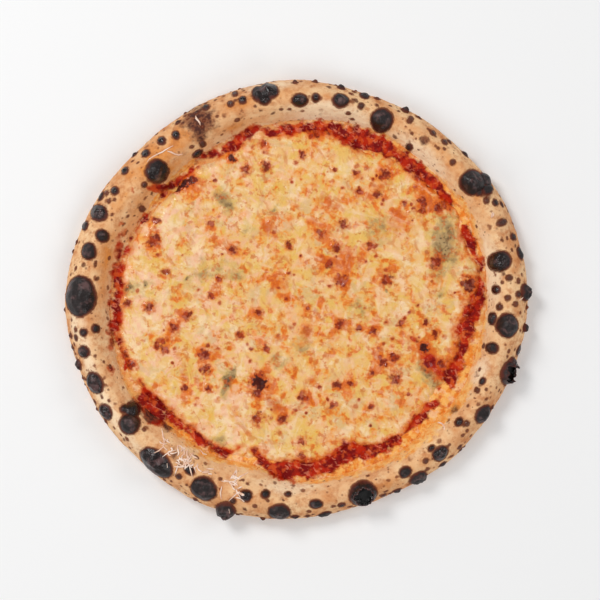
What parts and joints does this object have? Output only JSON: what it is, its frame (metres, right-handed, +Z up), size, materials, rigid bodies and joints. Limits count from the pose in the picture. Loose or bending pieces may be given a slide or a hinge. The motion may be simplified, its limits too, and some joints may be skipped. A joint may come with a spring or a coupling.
{
  "type": "four cheese pizza",
  "caption": "Round wood-oven pizza with a puffed, scorched rim, tomato sauce, a sheet of melted cheese and lumps of blue cheese.",
  "frame": {"origin": "under the middle of the pizza, on the surface that it rests on", "axes": "+Z up; +X to the right and +Y to the top of the picture, which looks straight down; the pizza is widest along X"},
  "size_m": [0.3119, 0.2941, 0.0261],
  "materials": {
    "baked_dough": "matt baked dough, scorched black on its bubbles",
    "tomato": "wet pulpy sauce",
    "melted_cheese": "oily melted cheese with browned spots",
    "blue_cheese": "half-melted grey-green cheese"
  },
  "bodies": {
    "root": {"crust": "baked_dough", "tomato_sauce": "tomato", "melted_cheese": "melted_cheese", "blue_cheese_1": "blue_cheese", "blue_cheese_2": "blue_cheese", "blue_cheese_3": "blue_cheese", "blue_cheese_4": "blue_cheese", "blue_cheese_5": "blue_cheese", "blue_cheese_6": "blue_cheese", "blue_cheese_7": "blue_cheese", "blue_cheese_8": "blue_cheese", "blue_cheese_9": "blue_cheese"}
  },
  "joints": []
}
